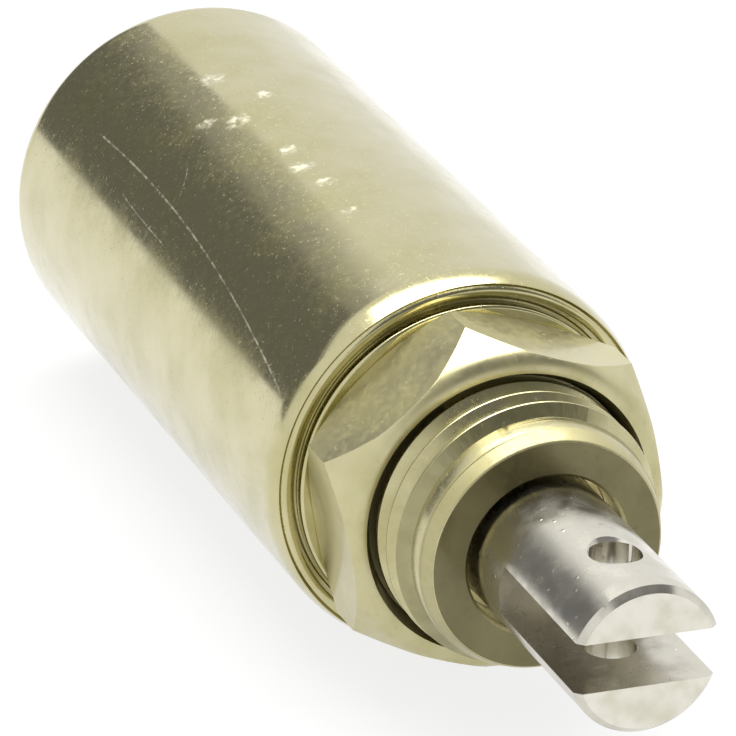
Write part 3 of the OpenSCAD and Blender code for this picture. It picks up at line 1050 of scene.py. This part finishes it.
@dataclass
class Studio:
    """Pale floor, white surroundings, a soft light overhead, dark cards for the metal, and the camera."""

    floor_z: float
    azimuth: float = 67.6207
    elevation: float = 23.6002
    roll: float = 2.4375
    camera_at: tuple[float, float, float] = (0.31854, -0.13798, 0.15815)
    lens: float = 299.17
    lamp_at: tuple[float, float, float] = (-0.15, 0.03, 0.6)
    lamp_size: float = 0.62
    lamp_watts: float = 5.2
    wall_azimuth: float = -66.0
    wall_away: float = 0.9
    wall_width: float = 0.95
    wall_bands: tuple[tuple[str, float, float, float], ...] = (
        ("dark_wall", 0, 0.5, 0.18), ("dim_strip", 0.5, 0.6, 0.42),
    )
    room_at: tuple[float, float, float] = (0.4242, 0.1632, 0.3918)
    room_size: float = 0.84
    room_level: float = 0.2

    def camera(self) -> None:
        """Places the camera by its azimuth, elevation and roll."""
        a, e, t = (math.radians(v) for v in (self.azimuth, self.elevation, self.roll))
        back = Vector((math.sin(a) * math.cos(e), -math.cos(a) * math.cos(e), math.sin(e)))
        level = Vector((math.cos(a), math.sin(a), 0))
        lifted = back.cross(level)
        right = level * math.cos(t) + lifted * math.sin(t)
        up = back.cross(right)
        data = bpy.data.cameras.new("camera")
        data.lens = self.lens
        data.sensor_width = 36
        data.clip_start, data.clip_end = 0.01, 20
        eye = bpy.data.objects.new("camera", data)
        bpy.context.scene.collection.objects.link(eye)
        eye.matrix_world = Matrix.Translation(self.camera_at) @ Matrix((right, up, back)).transposed().to_4x4()
        bpy.context.scene.camera = eye

    def world(self) -> None:
        """Makes the surroundings white to the camera and to reflections, and softer to matt surfaces."""
        world = bpy.data.worlds.new("surroundings")
        bpy.context.scene.world = world
        world.use_nodes = True
        tree = world.node_tree
        rays = tree.nodes.new("ShaderNodeLightPath")
        seen = tree.nodes.new("ShaderNodeMath")
        seen.operation = "MAXIMUM"
        tree.links.new(rays.outputs["Is Camera Ray"], seen.inputs[0])
        tree.links.new(rays.outputs["Is Glossy Ray"], seen.inputs[1])
        also = tree.nodes.new("ShaderNodeMath")
        also.operation = "MAXIMUM"
        tree.links.new(seen.outputs[0], also.inputs[0])
        tree.links.new(rays.outputs["Is Transmission Ray"], also.inputs[1])
        level = tree.nodes.new("ShaderNodeMapRange")
        level.inputs["To Min"].default_value = 0.7
        level.inputs["To Max"].default_value = 1.0
        tree.links.new(also.outputs[0], level.inputs["Value"])
        background = tree.nodes["Background"]
        background.inputs["Color"].default_value = (1, 1, 1, 1)
        tree.links.new(level.outputs[0], background.inputs["Strength"])

    def floor(self) -> None:
        """Lays the floor: white, with the faint shadow of a matt sheet."""
        bpy.ops.object.select_all(action="DESELECT")
        bpy.ops.mesh.primitive_plane_add(size=6, location=(0, 0, self.floor_z))
        sheet = bpy.context.object
        sheet.name = "floor"
        material = bpy.data.materials.new("floor_white")
        material.use_nodes = True
        tree = material.node_tree
        matt = tree.nodes["Principled BSDF"]
        matt.inputs["Base Color"].default_value = (0.9, 0.9, 0.9, 1)
        matt.inputs["Roughness"].default_value = 1
        matt.inputs["Specular IOR Level"].default_value = 0
        glow = tree.nodes.new("ShaderNodeEmission")
        mix = tree.nodes.new("ShaderNodeMixShader")
        rays = tree.nodes.new("ShaderNodeLightPath")
        seen = tree.nodes.new("ShaderNodeMath")
        seen.operation = "MAXIMUM"
        tree.links.new(rays.outputs["Is Camera Ray"], seen.inputs[0])
        tree.links.new(rays.outputs["Is Glossy Ray"], seen.inputs[1])
        share = tree.nodes.new("ShaderNodeMath")
        share.operation = "MULTIPLY"
        share.inputs[1].default_value = 0.8
        tree.links.new(seen.outputs[0], share.inputs[0])
        tree.links.new(share.outputs[0], mix.inputs[0])
        tree.links.new(matt.outputs[0], mix.inputs[1])
        tree.links.new(glow.outputs[0], mix.inputs[2])
        tree.links.new(mix.outputs[0], tree.nodes["Material Output"].inputs["Surface"])
        sheet.data.materials.append(material)
        sheet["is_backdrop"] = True

    def card(self, name: str, place: Vector, facing: Vector, size: tuple[float, float], level: float) -> None:
        """Stands a card that only reflections see.

        Args:
            name: Name of the card.
            place: Its centre, in metres.
            facing: The point that it faces.
            size: Its width and height, in metres.
            level: How bright it looks, from 0 to 1.
        """
        bpy.ops.object.select_all(action="DESELECT")
        bpy.ops.mesh.primitive_plane_add(
            size=1, location=place, rotation=(facing - place).to_track_quat("Z", "Y").to_euler(),
        )
        sheet = bpy.context.object
        sheet.scale = (*size, 1)
        sheet.name = name
        material = bpy.data.materials.new(name)
        material.use_nodes = True
        tree = material.node_tree
        tree.nodes.remove(tree.nodes["Principled BSDF"])
        glow = tree.nodes.new("ShaderNodeEmission")
        glow.inputs["Color"].default_value = (level, level, level, 1)
        tree.links.new(glow.outputs[0], tree.nodes["Material Output"].inputs["Surface"])
        sheet.data.materials.append(material)
        sheet.visible_camera = sheet.visible_diffuse = sheet.visible_shadow = False
        sheet.visible_transmission = False
        sheet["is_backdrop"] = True

    def light(self, name: str, place: Vector, size: float, watts: float) -> None:
        """Hangs a square soft light that faces the object."""
        data = bpy.data.lights.new(name, "AREA")
        data.size = size
        data.energy = watts
        lamp = bpy.data.objects.new(name, data)
        lamp.location = place
        lamp.rotation_euler = (-place).to_track_quat("-Z", "Y").to_euler()
        bpy.context.scene.collection.objects.link(lamp)

    def build(self) -> None:
        """Sets up the studio."""
        bpy.context.scene.view_settings.view_transform = "Standard"
        self.camera()
        self.world()
        self.floor()
        self.light("overhead", Vector(self.lamp_at), self.lamp_size, self.lamp_watts)
        origin = Vector((0, 0, self.floor_z))
        a = math.radians(self.wall_azimuth)
        far = Vector((math.sin(a), -math.cos(a), 0)) * self.wall_away
        for name, low, high, level in self.wall_bands:
            middle = Vector((0, 0, (low + high) / 2))
            self.card(name, origin + far + middle, origin + middle, (self.wall_width, high - low), level)
        room = (self.room_size, self.room_size)
        self.card("dark_room", Vector(self.room_at), Vector((0, 0, 0)), room, self.room_level)


# ---------------------------------------------------------------- main


def corners() -> list[list[float]]:
    """Gives the shown object's box as plain lists."""
    return [list(corner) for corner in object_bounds()]


def main() -> None:
    """Builds the solenoid and the studio round it."""
    logging.basicConfig(level=logging.INFO, format="%(name)s: %(message)s")
    cad = corners()
    sizes = Sizes().read()
    for part in (DrawnCase(sizes), FrontEnd(sizes), MountingHardware(sizes), Armature(sizes), InnerWorks()):
        part.build()
        LOG.info("%s done", type(part).__name__)
    Studio(floor_z=cad[0][2]).build()


if __name__ == "__main__":
    main()
